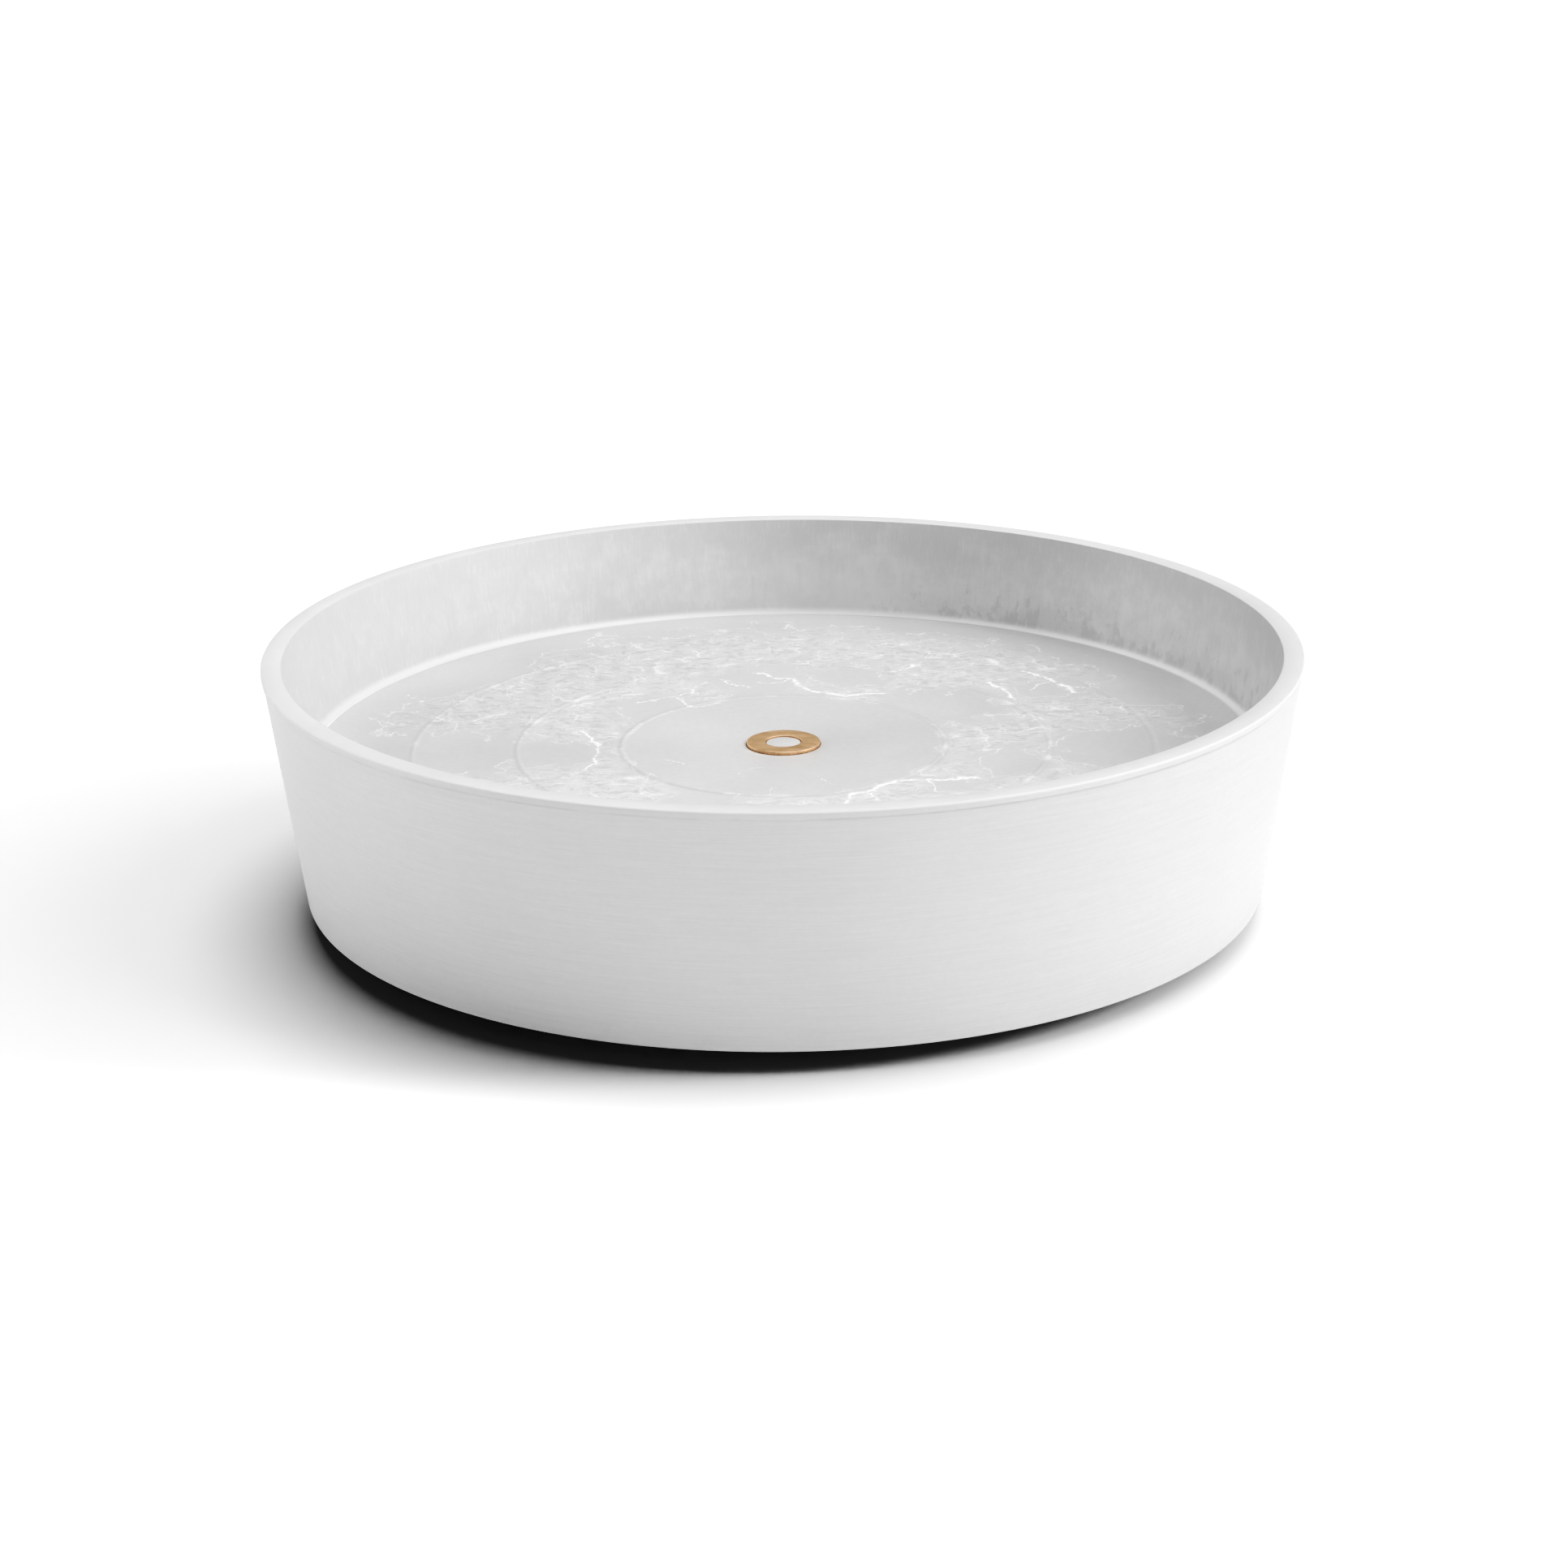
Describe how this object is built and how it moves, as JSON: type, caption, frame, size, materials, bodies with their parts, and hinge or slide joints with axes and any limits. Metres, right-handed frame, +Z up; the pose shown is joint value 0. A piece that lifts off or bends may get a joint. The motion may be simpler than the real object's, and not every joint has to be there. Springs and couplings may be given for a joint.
{
  "type": "rolling plant saucer",
  "caption": "Round plant saucer with a tapered skirt, a shallow tray with raised floor rings and a brass centre ring, rolling on swivel castors hidden inside the skirt.",
  "frame": {"origin": "on the ground, under the middle of the saucer", "axes": "+Z up along the saucer's axis, -Y towards the front of the picture, +X to its right"},
  "size_m": [0.3494, 0.3494, 0.0881],
  "materials": {
    "saucer_plastic": "satin off-white, finely brushed outside",
    "brass": "brushed",
    "zinc_plated_steel": "zinc plated",
    "polished_steel": "polished",
    "black_nylon": "moulded",
    "grey_rubber": "matt"
  },
  "bodies": {
    "saucer": {"saucer_body": "saucer_plastic", "brass_ring": "brass", "castor_front_left_plate": "zinc_plated_steel", "castor_front_left_kingpin": "zinc_plated_steel", "castor_front_left_screw_1": "zinc_plated_steel", "castor_front_left_screw_2": "zinc_plated_steel", "castor_front_left_screw_3": "zinc_plated_steel", "castor_front_left_screw_4": "zinc_plated_steel", "castor_front_right_plate": "zinc_plated_steel", "castor_front_right_kingpin": "zinc_plated_steel", "castor_front_right_screw_1": "zinc_plated_steel", "castor_front_right_screw_2": "zinc_plated_steel", "castor_front_right_screw_3": "zinc_plated_steel", "castor_front_right_screw_4": "zinc_plated_steel", "castor_rear_left_plate": "zinc_plated_steel", "castor_rear_left_kingpin": "zinc_plated_steel", "castor_rear_left_screw_1": "zinc_plated_steel", "castor_rear_left_screw_2": "zinc_plated_steel", "castor_rear_left_screw_3": "zinc_plated_steel", "castor_rear_left_screw_4": "zinc_plated_steel", "castor_rear_right_plate": "zinc_plated_steel", "castor_rear_right_kingpin": "zinc_plated_steel", "castor_rear_right_screw_1": "zinc_plated_steel", "castor_rear_right_screw_2": "zinc_plated_steel", "castor_rear_right_screw_3": "zinc_plated_steel", "castor_rear_right_screw_4": "zinc_plated_steel"},
    "castor_front_left_fork": {"castor_front_left_fork": "zinc_plated_steel", "castor_front_left_ball_ring": "polished_steel", "castor_front_left_axle": "polished_steel"},
    "castor_front_left_wheel": {"castor_front_left_wheel_core": "black_nylon", "castor_front_left_tyre": "grey_rubber"},
    "castor_front_right_fork": {"castor_front_right_fork": "zinc_plated_steel", "castor_front_right_ball_ring": "polished_steel", "castor_front_right_axle": "polished_steel"},
    "castor_front_right_wheel": {"castor_front_right_wheel_core": "black_nylon", "castor_front_right_tyre": "grey_rubber"},
    "castor_rear_left_fork": {"castor_rear_left_fork": "zinc_plated_steel", "castor_rear_left_ball_ring": "polished_steel", "castor_rear_left_axle": "polished_steel"},
    "castor_rear_left_wheel": {"castor_rear_left_wheel_core": "black_nylon", "castor_rear_left_tyre": "grey_rubber"},
    "castor_rear_right_fork": {"castor_rear_right_fork": "zinc_plated_steel", "castor_rear_right_ball_ring": "polished_steel", "castor_rear_right_axle": "polished_steel"},
    "castor_rear_right_wheel": {"castor_rear_right_wheel_core": "black_nylon", "castor_rear_right_tyre": "grey_rubber"}
  },
  "joints": [
    {"name": "castor_front_left_swivel", "type": "hinge", "parent": "saucer", "child": "castor_front_left_fork", "pos_m": [-0.08349, -0.08349, 0.03542], "axis": [0, 0, 1], "continuous": true},
    {"name": "castor_front_left_roll", "type": "hinge", "parent": "castor_front_left_fork", "child": "castor_front_left_wheel", "pos_m": [-0.08349, -0.07049, 0.01482], "axis": [1, 0, 0], "continuous": true},
    {"name": "castor_front_right_swivel", "type": "hinge", "parent": "saucer", "child": "castor_front_right_fork", "pos_m": [0.08349, -0.08349, 0.03542], "axis": [0, 0, 1], "continuous": true},
    {"name": "castor_front_right_roll", "type": "hinge", "parent": "castor_front_right_fork", "child": "castor_front_right_wheel", "pos_m": [0.08349, -0.07049, 0.01482], "axis": [1, 0, 0], "continuous": true},
    {"name": "castor_rear_left_swivel", "type": "hinge", "parent": "saucer", "child": "castor_rear_left_fork", "pos_m": [-0.08349, 0.08349, 0.03542], "axis": [0, 0, 1], "continuous": true},
    {"name": "castor_rear_left_roll", "type": "hinge", "parent": "castor_rear_left_fork", "child": "castor_rear_left_wheel", "pos_m": [-0.08349, 0.09649, 0.01482], "axis": [1, 0, 0], "continuous": true},
    {"name": "castor_rear_right_swivel", "type": "hinge", "parent": "saucer", "child": "castor_rear_right_fork", "pos_m": [0.08349, 0.08349, 0.03542], "axis": [0, 0, 1], "continuous": true},
    {"name": "castor_rear_right_roll", "type": "hinge", "parent": "castor_rear_right_fork", "child": "castor_rear_right_wheel", "pos_m": [0.08349, 0.09649, 0.01482], "axis": [1, 0, 0], "continuous": true}
  ]
}
